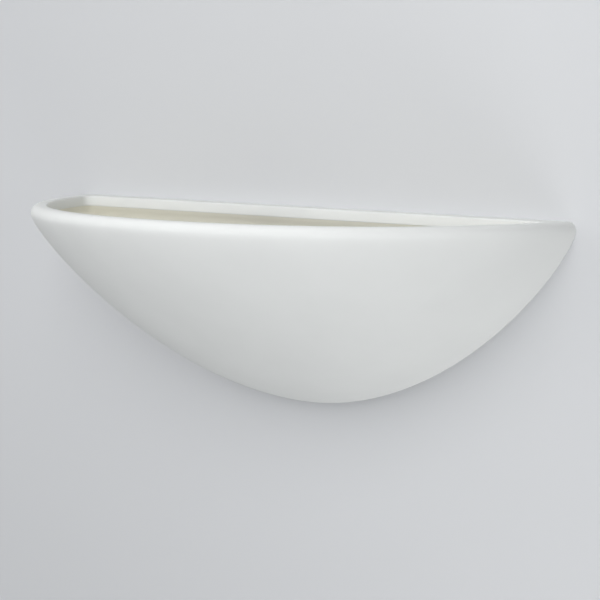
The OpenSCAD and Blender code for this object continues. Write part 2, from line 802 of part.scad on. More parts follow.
module earth_lead() {
    lug_depth = web_front + washer_t + lug_barrel_r;
    color([0.35, 0.6, 0.25]) lead([
        [way_x[0], -tube_depth, lead_top], [way_x[0], -tube_depth, 12.5], [way_x[0] - 4, -13, 16.2],
        [earth_x + 8, -13, 17], [earth_x + 2, -12, 14], [earth_x, -lug_depth, 8],
        [earth_x, -lug_depth, earth_z + 7.2]
    ]);
}

module lead_sleeve() {
    path = smooth([for (i = [0:len(trunk) - 2]) trunk[i]], span_rings);
    outer = sweep_rings(path, sleeve_d / 2);
    inner = sweep_rings(path, sleeve_d / 2 - 0.35);
    rows = len(path);
    n = lead_sides;
    last = (rows - 1) * n;
    color([0.88, 0.86, 0.8]) polyhedron(
        concat([for (r = outer) each r], [for (r = inner) each r]),
        concat(
            strip_faces(n, rows, 0, false),
            strip_faces(n, rows, rows * n, true),
            [for (i = [0:n - 1])
                let (j = (i + 1) % n, a = rows * n)
                each [[i, j, a + i], [a + i, j, a + j]]],
            [for (i = [0:n - 1])
                let (j = (i + 1) % n, a = rows * n + last)
                each [[last + j, last + i, a + j], [a + j, last + i, a + i]]]
        )
    );
}

// ---- lamp ----------------------------------------------------------------------

neck_r = lamp_r + 0.5;
board_r = globe_r - 3.4;

function globe_arc(r, from) =
    [for (i = [0:10]) let (a = from * (1 - i / 10) + 90 * i / 10) [r * cos(a), globe_mid + r * sin(a)]];

// Half-turn angle where the globe meets the body
globe_from = -asin((globe_mid - board_at) / globe_r);
globe_in_from = -asin((globe_mid - board_at) / (globe_r - globe_t));

module lamp_globe() {
    outer = globe_arc(globe_r, globe_from);
    inner = globe_arc(globe_r - globe_t, globe_in_from);
    color([0.96, 0.96, 0.95]) turned_lamp(concat(
        [for (i = [0:9]) outer[i]], [[0, lamp_end]], [[0, lamp_end - globe_t]],
        [for (i = [9:-1:0]) inner[i]]
    ));
}

// Tapered housing, from the cap's neck to the globe's edge
module lamp_body() {
    rim_r = globe_r * cos(globe_from);
    from = cap_end;
    run = board_at - from;
    plug_r = lamp_r - metal_t - fit_gap;
    color([0.94, 0.94, 0.93]) turned_lamp(concat(
        [[0, from - 4], [plug_r, from - 4], [plug_r, from], [neck_r, from], [neck_r, from + 3]],
        [for (i = [1:6]) let (s = i / 6) [neck_r + (rim_r - neck_r) * (1 - cos(90 * s)) * 0.45
            + (rim_r - neck_r) * 0.55 * s, from + 3 + (run - 3) * s]],
        [[board_r + 0.2, board_at], [board_r + 0.2, board_at - 1], [0, board_at - 1]]
    ));
}

module lamp_led_board() {
    chips = 9;
    color([0.9, 0.9, 0.88]) translate([arm_face, -lamp_depth, lamp_z]) rotate([0, 90, 0]) union() {
        translate([0, 0, board_at - 1]) cylinder(h = 1, r = board_r, $fn = round_sides);
        for (i = [0:chips - 1])
            rotate(360 * i / chips) translate([0.62 * board_r - 1.4, -1.75, board_at - 0.1])
                cube([2.8, 3.5, 0.9]);
    }
}

insulator_at = tip_at + 1;
insulator_r = 9.4;
pin_r = 2.9;

module lamp_cap() {
    shoulder = insulator_at + 4.6;
    lip_at = insulator_at + 1.6;
    color(nickel) turned_lamp([
        [insulator_r, lip_at], [lamp_r, shoulder], [lamp_r, cap_end], [lamp_r - metal_t, cap_end],
        [lamp_r - metal_t, shoulder + 0.3], [insulator_r, lip_at + 0.9]
    ]);
}

module lamp_cap_insulator() {
    lip_at = insulator_at + 1.6;
    color(black) turned_lamp([
        [pin_r + fit_gap, insulator_at], [5.4, insulator_at], [insulator_r, lip_at],
        [insulator_r, lip_at + 0.9], [pin_r + fit_gap, lip_at + 0.9]
    ]);
}

module lamp_tip() {
    color(brass) turned_lamp([
        [0, tip_at], [3.4, tip_at + 0.1], [4.8, tip_at + 0.6], [4.8, insulator_at],
        [pin_r, insulator_at], [pin_r, insulator_at + 2.2], [0, insulator_at + 2.2]
    ]);
}

// ---- assembly ------------------------------------------------------------------

shell();
wall_bracket();
holder_arm();
arm_rivets();
cable_grommet();
terminal_block();
terminal_tubes();
terminal_screws();
block_screws();
block_nuts();
earth_screw();
earth_washer();
earth_lug();
earth_nut();
nipple();
nipple_washer();
nipple_nut();
holder_cap();
holder_skirt();
holder_insert();
holder_screw_shell();
holder_centre_contact();
holder_terminal_screws();
live_lead();
neutral_lead();
earth_lead();
lead_sleeve();
lamp_globe();
lamp_body();
lamp_led_board();
lamp_cap();
lamp_cap_insulator();
lamp_tip();
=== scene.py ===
"""Looks of an uplighter wall sconce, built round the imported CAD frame.

The frame: the wall is the plane y = 0, the room is towards -Y, +X is right, +Z is up, and the
origin is midway between the two wall screws. Blender works in metres. The sizes and points of
the light's own pieces are written in mm, and mesh_object turns them into metres. The stage, the
lights and the camera are written in metres.
"""

import json
import math

import bmesh
import bpy
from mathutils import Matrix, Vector

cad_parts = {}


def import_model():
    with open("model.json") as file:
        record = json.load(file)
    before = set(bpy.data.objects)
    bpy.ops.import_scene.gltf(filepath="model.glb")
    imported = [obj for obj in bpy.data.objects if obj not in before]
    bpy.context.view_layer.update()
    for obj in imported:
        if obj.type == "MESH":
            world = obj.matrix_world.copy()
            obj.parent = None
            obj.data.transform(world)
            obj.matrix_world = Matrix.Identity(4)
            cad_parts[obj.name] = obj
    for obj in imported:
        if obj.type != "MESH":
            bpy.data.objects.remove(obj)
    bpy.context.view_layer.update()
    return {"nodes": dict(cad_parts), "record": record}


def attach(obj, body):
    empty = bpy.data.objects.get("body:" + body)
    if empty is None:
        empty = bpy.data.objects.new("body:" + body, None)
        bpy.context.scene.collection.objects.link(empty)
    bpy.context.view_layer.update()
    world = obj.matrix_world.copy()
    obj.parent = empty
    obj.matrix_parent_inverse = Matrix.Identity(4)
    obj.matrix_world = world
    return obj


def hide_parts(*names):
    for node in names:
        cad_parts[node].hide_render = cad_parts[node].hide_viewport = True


MM = 0.001

# ---- camera and lights, in metres and degrees ----------------------------------------------------

# The camera was fitted to the photographed outline together with the shell's shape.
VIEW_AZIMUTH, VIEW_ELEVATION = 40.0, 5.82
VIEW_TARGET = Vector((0.02298, -0.040, -0.00055))
VIEW_DISTANCE = 1.6618
VIEW_LENS = 170.2  # mm, on the default 36 mm sensor

# Name, azimuth, elevation, distance, size, and the share of its written colour that a matte
# surface facing the light shows by it
LIGHTS = [
    ("key", 15, 30, 0.95, 0.6, 0.54),
    ("fill", -40, 20, 1.2, 0.8, 0.19),
    ("top", 60, 70, 0.7, 0.5, 0.10),
    ("bounce", 75, -45, 0.8, 0.5, 0.38),
    ("back", 180, -4, 1.4, 1.0, 0.45),
]
LIGHT_TARGET = Vector((0, -0.05, 0))
WORLD_STRENGTH, WORLD_TINT = 0.36, (0.97, 0.985, 1.0)

STAGE_HALF, STAGE_FRONT = 3.0, -5.0  # half the stage's width, and the floor's front edge
FLOOR_Z, WALL_TOP = -0.75, 2.2
WALL_Y = 0.0004  # just behind the light's back, so that the two don't share a plane
WALL_TONE, WALL_GLOW = (0.6, 0.61, 0.625), 0.12
FLOOR_TONE, FLOOR_GLOW = (0.8, 0.8, 0.8), 0.42

# ---- the shell's sizes in mm, the same as in part.scad -------------------------------------------

SHELL_W, SHELL_D, SHELL_H = 380.0, 147.0, 118.0
RIM_Z = 51.0  # height of the rim's top
WALL_T, BACK_T = 6.0, 5.0  # the bowl's wall, and its flat back
RIM_T, BAR_T, BAND_H = 9.8, 10.5, 6.5  # the rim, the bar along the back, and the height of both
LIP_R, LIP_BLEND = 5.0, 2.0  # the lip's rounding, and how softly the bowl turns in below it
CORNER_R = 8.0  # the mouth's inner corners
END_LEAN, END_PULL, NOSE_PULL = -8.0, 63.0, 135.0  # handles of the plan outline: degrees, mm, mm
END_TAPER, END_FULLNESS = 1.22, 1.9  # how the width runs down to the point
NOSE_TAPER, NOSE_FULLNESS = 1.12, 1.45  # how the projection runs down to it
WINDOW_HALF, WINDOW_LOW, WINDOW_HIGH, WINDOW_CORNER = 104.0, -30.0, 20.3, 5.0

# What casting leaves, which is finer than in part.scad
COVE_H = 16.0  # the cove in which the rim and the bar run out into the wall below them
EDGE_R, BAND_EDGE_R = 0.9, 0.54  # roundings of the rim's inner edge and of the band's lower edge

# How finely the shown shell is divided
HALF_STEPS, CORNER_STEPS, WINDOW_STEPS = 84, 8, 8
OUTER_ROWS, LIP_ROWS, EDGE_ROWS, COVE_ROWS, INNER_ROWS = 56, 12, 4, 10, 44

BOTTOM_Z = RIM_Z - SHELL_H
LIP_Z = RIM_Z - LIP_R
BAND_Z = RIM_Z - BAND_H
BLEND_SHARE = LIP_BLEND / (LIP_Z - BOTTOM_Z)

# ---- the lamp and the wiring in mm, the same as in part.scad -------------------------------------

# The lamp's axis runs along X. Places on it are measured from the arm's face at the holder.
AXIS_Y, AXIS_Z, ARM_FACE = -52.0, 9.0, -60.5
CAP_R, CAP_METAL, CAP_LIP_R, CAP_LIP_T = 13.1, 0.5, 9.4, 0.9
CAP_LIP_AT, CAP_SHOULDER, CAP_END, CAP_SKIRT = 33.6, 36.6, 51.0, 4.2
CAP_PITCH, CAP_THREAD, CAP_RUN_OUT = 3.63, 1.1, 1.5  # the rolled thread: its depth is CAP_THREAD
GLOBE_R, GLOBE_WALL, GLOBE_MID = 22.5, 1.2, 86.5
BOARD_AT, BOARD_SEAT_R, BOARD_SEAT_DEPTH = 78.5, 19.3, 1.0
PLUG_R, PLUG_LENGTH, NECK_R, NECK_LENGTH = 12.55, 4.0, 13.6, 3.0
FLARE_EARLY, FLARE_EASE = 0.45, 0.6  # how the housing widens between its neck and the globe
NIPPLE_R, NIPPLE_BORE_R, NIPPLE_FROM, NIPPLE_TO = 5.0, 4.0, -7.5, 9.0
NIPPLE_PITCH, NIPPLE_THREAD, NIPPLE_RUN_OUT = 1.0, 0.5, 0.8  # its thread fades over the run-out
LEAD_R, SLEEVE_R, SLEEVE_WALL = 1.1, 3.0, 0.35

# Routes of the wires. The live and the neutral lead start at the strip, run on either side of the
# trunk, LEAD_SIDE away from it, and end at the holder's contacts: X, and the height over the axis.
TRUNK = [
    (26, -14, 24), (8, -14, 25), (-16, -14, 25), (-40, -14, 25), (-60, -15, 25.5), (-74, -21, 26),
    (-84, -34, 23), (-86, -46, 14), (-80, -52, 9.5), (-70, -52, 9), (-62, -52, 9), (-53, -52, 9),
]
LEAD_SIDE = 1.25
LIVE_START = [(48, -12.6, 7.3), (48, -12.6, 14), (43, -13.2, 20.5), (36, -14, 22.7)]
NEUTRAL_START = [(58, -12.6, 7.3), (58, -12.6, 15), (53, -13.2, 22.5), (44, -14, 25.2)]
CONTACT_RUN = [(-50.5, 2.6), (-46.5, 6.75), (-42.7, 9.0)]
EARTH_ROUTE = [
    (38, -12.6, 7.3), (38, -12.6, 12.5), (34, -13, 16.2), (29, -13, 17), (23, -12, 14),
    (21, -9.7, 8), (21, -9.7, -0.8),
]

# How finely the lamp and the wiring are divided
ROUTE_STEPS, LEAD_SIDES, SLEEVE_SIDES = 14, 20, 28
LAMP_SIDES, CAP_STEPS, GLOBE_STEPS, FLARE_STEPS = 72, 64, 28, 24
NIPPLE_SIDES, NIPPLE_STEPS = 48, 132

# ---- settings of the methods ---------------------------------------------------------------------

SHARP_ANGLE = math.radians(35)  # an edge that turns more than this stays sharp
MERGE_GAP, FLAT_EDGE = 1e-6, 1e-7  # m: points this close become one, and such an edge goes
BISECT_STEPS = 28
SLOPE_STEP, SPEED_STEP = 0.0005, 0.001  # steps in u or s by which a surface's slope is measured
CORNER_SHARE, REACH_SHARE = 0.3, 0.4  # the most of a short row that a rounded corner takes
NOISE_LOW, NOISE_HIGH = 0.3, 0.7  # most of a noise texture lies between these


# ---- small helpers -------------------------------------------------------------------------------


def mesh_object(name, points, faces, scale=MM):
    """A new mesh object, linked to the scene, from points in mm."""
    mesh = bpy.data.meshes.new(name)
    mesh.from_pydata([[c * scale for c in p] for p in points], [], faces)
    mesh.validate()
    obj = bpy.data.objects.new(name, mesh)
    bpy.context.scene.collection.objects.link(obj)
    return obj


def tidy_mesh(obj):
    """Merges points that coincide, turns faces outwards, and shades smooth up to sharp edges."""
    work = bmesh.new()
    work.from_mesh(obj.data)
    bmesh.ops.remove_doubles(work, verts=work.verts, dist=MERGE_GAP)
    bmesh.ops.dissolve_degenerate(work, edges=work.edges, dist=FLAT_EDGE)
    bmesh.ops.recalc_face_normals(work, faces=work.faces)
    work.to_mesh(obj.data)
    work.free()
    obj.data.polygons.foreach_set("use_smooth", [True] * len(obj.data.polygons))
    obj.data.set_sharp_from_angle(angle=SHARP_ANGLE)
    return obj


def cut_with(obj, cutter):
    """Cuts one solid out of another and removes the cutter."""
    modifier = obj.modifiers.new("cut", "BOOLEAN")
    modifier.operation = "DIFFERENCE"
    modifier.solver = "EXACT"
    modifier.object = cutter
    bpy.context.view_layer.update()
    graph = bpy.context.evaluated_depsgraph_get()
    cut = bpy.data.meshes.new_from_object(obj.evaluated_get(graph))
    obj.modifiers.clear()
    obj.data = cut
    bpy.data.objects.remove(cutter)


def bisect(low, high, below):
    """The value between low and high where the test below(value) turns false."""
    for _ in range(BISECT_STEPS):
        mid = (low + high) / 2
        if below(mid):
            low = mid
        else:
            high = mid
    return (low + high) / 2


def quarter_turn(steps):
    """Angles from 0 to a right angle, in equal steps."""
    return [math.pi / 2 * k / steps for k in range(steps + 1)]


def ring_band(low, high, sides):
    """Faces between two rings of points, of which low and high are the first points' numbers."""
    faces = []
    for i in range(sides):
        j = (i + 1) % sides
        faces.append((low + i, low + j, high + j, high + i))
    return faces


# ---- the shell's surface, by the formulas of part.scad -------------------------------------------

LEAN = math.radians(END_LEAN)
PLAN = [
    Vector((SHELL_W / 2, 0)),
    Vector((SHELL_W / 2 + END_PULL * math.sin(LEAN), -END_PULL * math.cos(LEAN))),
    Vector((NOSE_PULL, -SHELL_D)),
    Vector((0, -SHELL_D)),
]


def plan_at(u):
    """Plan outline, from the right-hand wall end (u = 0) to the nose (u = 1)."""
    a, b, c, d = (1 - u) ** 3, 3 * (1 - u) ** 2 * u, 3 * (1 - u) * u * u, u**3
    return a * PLAN[0] + b * PLAN[1] + c * PLAN[2] + d * PLAN[3]


def plan_dir(u):
    """A third of the outline's rate of change along u."""
    a, b, c = (1 - u) ** 2, 2 * (1 - u) * u, u * u
    return a * (PLAN[1] - PLAN[0]) + b * (PLAN[2] - PLAN[1]) + c * (PLAN[3] - PLAN[2])


def plan_in(u, t):
    """The outline drawn in by a thickness, square to itself."""
    d = plan_dir(u).normalized()
    return plan_at(u) - t * Vector((-d.y, d.x))


def share_at(z):
    """Share of the way down from the lip (0) to the lowest point (1)."""
    return (LIP_Z - z) / (LIP_Z - BOTTOM_Z)


def turned_in(s):
    """The share of the way down, held back just below the lip so that the bowl starts upright."""
    return s * s / (s + BLEND_SHARE) * (1 + BLEND_SHARE)


def side_scale(s):
    return max(0.0, 1 - turned_in(s) ** END_TAPER) ** (1 / END_FULLNESS)


def nose_scale(s):
    return max(0.0, 1 - turned_in(s) ** NOSE_TAPER) ** (1 / NOSE_FULLNESS)


def row_share(k):
    """Share of the way down of a row, so that the rows shrink in even steps of an arc."""
    return (1 - math.cos(math.pi / 2 * k) ** END_FULLNESS) ** (1 / END_TAPER)


def skin_at(u, s):
    """A point of the outer skin, at u along the outline and the share s of the way down."""
    p = plan_at(u)
    return Vector((p.x * side_scale(s), p.y * nose_scale(s), LIP_Z + (BOTTOM_Z - LIP_Z) * s))


def lining_at(u, s):
    """The inner skin lies the wall's thickness inside the outer one, square to it."""
    e = SLOPE_STEP
    along = skin_at(u + e, s) - skin_at(u - e, s)
    down = skin_at(u, min(s + e, 1)) - skin_at(u, max(s - e, 0))
    return skin_at(u, s) - WALL_T * along.cross(down).normalized()


# ---- the shell's rows: each half row runs from the wall to the nose ------------------------------


def rounded_start(corner, start, curve, reach, begin):
    """A half row whose corner is rounded: from the back edge, round, and on to the nose.

    corner is the sharp corner and start its u. curve(u) gives the rest, reach is the step in u
    that the rounding takes, and begin is the point on the back edge where it begins.
    """
    first = start + reach
    leave = curve(first)
    half = []
    for i in range(CORNER_STEPS + 1):
        t = i / CORNER_STEPS
        half.append((1 - t) ** 2 * begin + 2 * t * (1 - t) * corner + t * t * leave)
    rest = HALF_STEPS - CORNER_STEPS
    return half + [curve(first + (1 - first) * i / rest) for i in range(1, rest + 1)]


def lip_row(t):
    """Half of the outline drawn in by t, right up to the wall."""
    half = [plan_in(i / HALF_STEPS, t) for i in range(HALF_STEPS + 1)]
    half[0].y = 0
    return [Vector((p.x, min(p.y, 0))) for p in half]


def mouth_row(t, depth):
    """Half of the outline drawn in by t, cut off at a depth, with its corner rounded there."""
    start = bisect(0, 0.5, lambda u: plan_in(u, t).y > -depth)
    corner = plan_in(start, t)
    corner.y = -depth
    reach = CORNER_R / (3 * plan_dir(start).length)
    begin = corner - Vector((CORNER_R, 0))
    return rounded_start(corner, start, lambda u: plan_in(u, t), reach, begin)


def lining_row(s):
    """Half of a row of the lining, from the back wall to the nose, its corner rounded."""
    start = bisect(0, 1, lambda u: lining_at(u, s).y > -BACK_T)
    corner = lining_at(start, s)
    corner.y = -BACK_T
    step = lining_at(min(start + SPEED_STEP, 1), s) - lining_at(start, s)
    speed = max(step.length / SPEED_STEP, 1e-6)
    r = min(CORNER_R * (1 - s), CORNER_SHARE * corner.x)
    reach = min(r / speed, REACH_SHARE * (1 - start))
    begin = corner - Vector((r, 0, 0))
    half = rounded_start(corner, start, lambda u: lining_at(u, s), reach, begin)
    half[-1].x = 0
    return [Vector((p.x, min(p.y, -BACK_T), p.z)) for p in half]


def both_halves(half):
    return half + [Vector((-p.x, p.y, p.z)) for p in half[-2::-1]]


def flat_ring(half, z):
    return both_halves([Vector((p.x, p.y, z)) for p in half])


def cove_ring(way):
    """A ring that runs from the band's lower edge (way 0) out to the lining (way 1)."""
    z = BAND_Z - COVE_H * way
    hold = (1 - way) ** 2
    half = []
    for b, c in zip(mouth_row(RIM_T, BAR_T), lining_row(share_at(z))):
        half.append(c + hold * (Vector((b.x, b.y, z)) - c))
    return both_halves(half)


def outside_rings():
    """The outer skin, from its lowest row up to the lip."""
    rings = []
    for k in range(OUTER_ROWS - 1, -1, -1):
        s = row_share(k / OUTER_ROWS)
        rings.append(both_halves([skin_at(i / HALF_STEPS, s) for i in range(HALF_STEPS + 1)]))
    return rings


def rim_rings():
    """The rounded lip, the rim's inner edge, and the band down to its rounded lower edge."""
    rings = []
    for a in quarter_turn(LIP_ROWS)[1:]:
        rings.append(flat_ring(lip_row(LIP_R * (1 - math.cos(a))), LIP_Z + LIP_R * math.sin(a)))
    for a in quarter_turn(EDGE_ROWS):
        back, drop = EDGE_R * (1 - math.sin(a)), EDGE_R * (1 - math.cos(a))
        rings.append(flat_ring(mouth_row(RIM_T - back, BAR_T - back), RIM_Z - drop))
    for a in quarter_turn(EDGE_ROWS):
        back, rise = BAND_EDGE_R * (1 - math.cos(a)), BAND_EDGE_R * (1 - math.sin(a))
        rings.append(flat_ring(mouth_row(RIM_T - back, BAR_T - back), BAND_Z + rise))
    return rings


def inside_rings(end):
    """The cove and the lining, down to the share end, where the lining meets the back."""
    rings = [cove_ring(k / COVE_ROWS) for k in range(1, COVE_ROWS)]
    top = share_at(BAND_Z - COVE_H)
    for k in range(INNER_ROWS):
        rings.append(both_halves(lining_row(top + (end - top) * row_share(k / INNER_ROWS))))
    return rings


def build_shell():
    """The cast half bowl in one skin: up outside, over the rim, and down inside."""
    end = bisect(0.5, 1, lambda s: lining_at(1, s).y < -BACK_T)
    outside = outside_rings() + rim_rings()
    rings = outside + inside_rings(end)
    n, last = len(rings[0]), len(rings) - 1
    points = [p for ring in rings for p in ring] + [Vector((0, 0, BOTTOM_Z)), lining_at(1, end)]
    lowest, foot = len(points) - 2, len(points) - 1
    faces, is_lining = [], []
    for k in range(last):
        faces += ring_band(k * n, (k + 1) * n, n)
        is_lining += [int(k >= len(outside) - 1)] * n
    for i in range(n):
        j = (i + 1) % n
        faces += [(j, i, lowest), (last * n + i, last * n + j, foot)]
        is_lining += [0, 1]
    shell = mesh_object("shell_cast", points, faces)
    for name in ("plaster_outside", "plaster_inside"):
        shell.data.materials.append(bpy.data.materials[name])
    shell.data.polygons.foreach_set("material_index", is_lining)
    tidy_mesh(shell)
    cut_with(shell, window_cutter())
    return tidy_mesh(shell)


def window_cutter():
    """A bar with rounded corners, through the back wall, that cuts the bracket's window."""
    end, low, high = (WINDOW_HALF - WINDOW_CORNER, WINDOW_LOW + WINDOW_CORNER,
                      WINDOW_HIGH - WINDOW_CORNER)
    front, behind = -BACK_T - 1.0, 1.0  # both ends stand clear of the wall that is cut
    ring = []
    for quarter, (mx, mz) in enumerate(((end, high), (-end, high), (-end, low), (end, low))):
        for turn in quarter_turn(WINDOW_STEPS):
            a = turn + math.pi / 2 * quarter
            ring.append((mx + WINDOW_CORNER * math.cos(a), mz + WINDOW_CORNER * math.sin(a)))
    n = len(ring)
    points = [(x, behind, z) for x, z in ring] + [(x, front, z) for x, z in ring]
    faces = [tuple(range(n)), tuple(range(2 * n - 1, n - 1, -1))] + ring_band(0, n, n)
    return tidy_mesh(mesh_object("window_cutter", points, faces))


# ---- leads, and the pieces that are turned about the lamp's axis ---------------------------------


def smooth_run(points):
    """A smooth run of points through the route's own points."""
    points = [Vector(p) for p in points]
    last = len(points) - 1
    run = []
    for i in range(last):
        a, b, c, d = (points[min(max(i + k, 0), last)] for k in (-1, 0, 1, 2))
        for k in range(ROUTE_STEPS):
            t = k / ROUTE_STEPS
            bend = (2 * a - 5 * b + 4 * c - d) * t**2 + (3 * b - a - 3 * c + d) * t**3
            run.append(0.5 * (2 * b + (c - a) * t + bend))
    return run + [points[-1]]


def run_dir(points, i):
    """Which way a run of points heads at its point number i."""
    return (points[min(i + 1, len(points) - 1)] - points[max(i - 1, 0)]).normalized()


def swept_rings(path, r, sides):
    """Rings square to a path, carried along it without twisting."""
    rings, side = [], Vector((0, 1, 0.3))
    turns = [2 * math.pi * k / sides for k in range(sides)]
    for i, p in enumerate(path):
        ahead = run_dir(path, i)
        side = (side - side.dot(ahead) * ahead).normalized()
        up = ahead.cross(side)
        rings.append([p + r * (math.cos(a) * side + math.sin(a) * up) for a in turns])
    return rings


def skin(name, rings, closed):
    """Joins rings of points into a surface, which closes on its first ring or has flat ends."""
    n, rows = len(rings[0]), len(rings)
    points = [p for ring in rings for p in ring]
    faces = []
    for k in range(rows if closed else rows - 1):
        faces += ring_band(k * n, (k + 1) % rows * n, n)
    if not closed:
        faces += [tuple(range(n)), tuple(range((rows - 1) * n, rows * n))]
    return tidy_mesh(mesh_object(name, points, faces))


def lead(name, route):
    return skin(name, swept_rings(smooth_run(route), LEAD_R, LEAD_SIDES), False)


def holder_route(start, side):
    """The way of a lead to the holder: its own start, then above (1) or below (-1) the trunk."""
    trunk = [Vector(p) for p in TRUNK]
    route = list(start)
    for i, p in enumerate(trunk):
        ahead = run_dir(trunk, i)
        route.append(p + side * LEAD_SIDE * Vector((-ahead.z, 0, ahead.x)).normalized())
    return route + [(x, AXIS_Y, AXIS_Z + side * height) for x, height in CONTACT_RUN]


def build_sleeve():
    """The glass-fibre sleeve: a thin tube round both leads, up to the holder."""
    path = smooth_run(TRUNK[:-1])
    inner = swept_rings(path, SLEEVE_R - SLEEVE_WALL, SLEEVE_SIDES)
    return skin("sleeve_tube", swept_rings(path, SLEEVE_R, SLEEVE_SIDES) + inner[::-1], True)


def turned(name, rows, sides):
    """A closed skin about the lamp's axis, from rows of a place and a radius at each angle."""
    rings = []
    for place, radius_at in rows:
        ring = []
        for k in range(sides):
            a = 2 * math.pi * k / sides
            r = radius_at(a)
            ring.append((ARM_FACE + place, AXIS_Y + r * math.cos(a), AXIS_Z + r * math.sin(a)))
        rings.append(ring)
    return skin(name, rings, True)


def plain_rows(profile):
    """Rows of a place and a radius that is the same all round."""
    return [(place, lambda a, r=r: r) for place, r in profile]


def thread_cut(place, angle, pitch, depth):
    """Depth of a rounded helical thread at a place along the lamp's axis."""
    return depth * (0.5 - 0.5 * math.cos(2 * math.pi * place / pitch - angle))


def ease(share):
    """A smooth step from 0 to 1, flat at both ends."""
    share = min(max(share, 0.0), 1.0)
    return share * share * (3 - 2 * share)


def even_places(first, last, steps):
    return [first + (last - first) * k / steps for k in range(steps + 1)]


def build_lamp_cap():
    """The lamp's screw cap: a coned lip, a rolled thread and a plain skirt."""
    def threaded(place, inset):
        into, out_of = place - CAP_SHOULDER, CAP_END - CAP_SKIRT - place
        run = ease(into / CAP_RUN_OUT) * ease(out_of / CAP_RUN_OUT)
        return lambda a: CAP_R - inset - thread_cut(place, a, CAP_PITCH, CAP_THREAD * run)

    places = even_places(CAP_SHOULDER, CAP_END, CAP_STEPS)
    rows = plain_rows([(CAP_LIP_AT, CAP_LIP_R)])
    rows += [(p, threaded(p, 0)) for p in places]
    rows += [(p, threaded(p, CAP_METAL)) for p in places[:0:-1]]
    rows += plain_rows([(CAP_LIP_AT + CAP_LIP_T, CAP_LIP_R)])
    return turned("lamp_screw_cap", rows, LAMP_SIDES)


def build_globe():
    """The opal globe: a thin ball, open where it meets the housing."""
    def arc(r):
        start = -math.asin((GLOBE_MID - BOARD_AT) / r)
        turns = even_places(start, math.pi / 2, GLOBE_STEPS)
        run = [(GLOBE_MID + r * math.sin(a), r * math.cos(a)) for a in turns[:-1]]
        return run + [(GLOBE_MID + r, 0.0)]

    profile = arc(GLOBE_R) + arc(GLOBE_R - GLOBE_WALL)[::-1]
    return turned("lamp_opal_globe", plain_rows(profile), LAMP_SIDES)


def build_housing():
    """The lamp's housing: a plug in the cap, a neck, and a flare out to the globe's edge."""
    edge_r = math.sqrt(GLOBE_R**2 - (GLOBE_MID - BOARD_AT) ** 2)
    plug, neck = CAP_END - PLUG_LENGTH, CAP_END + NECK_LENGTH
    profile = [(plug, 0.0), (plug, PLUG_R), (CAP_END, PLUG_R), (CAP_END, NECK_R)]
    for s in even_places(0.0, 1.0, FLARE_STEPS):
        early = 1 - math.cos(math.pi / 2 * s)
        late = s * s * (1 + FLARE_EASE - FLARE_EASE * s)
        widened = FLARE_EARLY * early + (1 - FLARE_EARLY) * late
        profile.append((neck + (BOARD_AT - neck) * s, NECK_R + (edge_r - NECK_R) * widened))
    seat = BOARD_AT - BOARD_SEAT_DEPTH
    profile += [(BOARD_AT, BOARD_SEAT_R), (seat, BOARD_SEAT_R), (seat, 0.0)]
    return turned("lamp_housing", plain_rows(profile), LAMP_SIDES)


def build_nipple():
    """The threaded tube that clamps the holder to its arm."""
    def threaded(place):
        into, out_of = place - NIPPLE_FROM, NIPPLE_TO - place
        run = ease(into / NIPPLE_RUN_OUT) * ease(out_of / NIPPLE_RUN_OUT)
        cut = NIPPLE_THREAD * (1 - run)
        return lambda a: NIPPLE_R - max(cut, thread_cut(place, a, NIPPLE_PITCH, NIPPLE_THREAD))

    rows = [(p, threaded(p)) for p in even_places(NIPPLE_FROM, NIPPLE_TO, NIPPLE_STEPS)]
    rows += plain_rows([(NIPPLE_TO, NIPPLE_BORE_R), (NIPPLE_FROM, NIPPLE_BORE_R)])
    return turned("nipple_tube", rows, NIPPLE_SIDES)


# ---- materials -----------------------------------------------------------------------------------


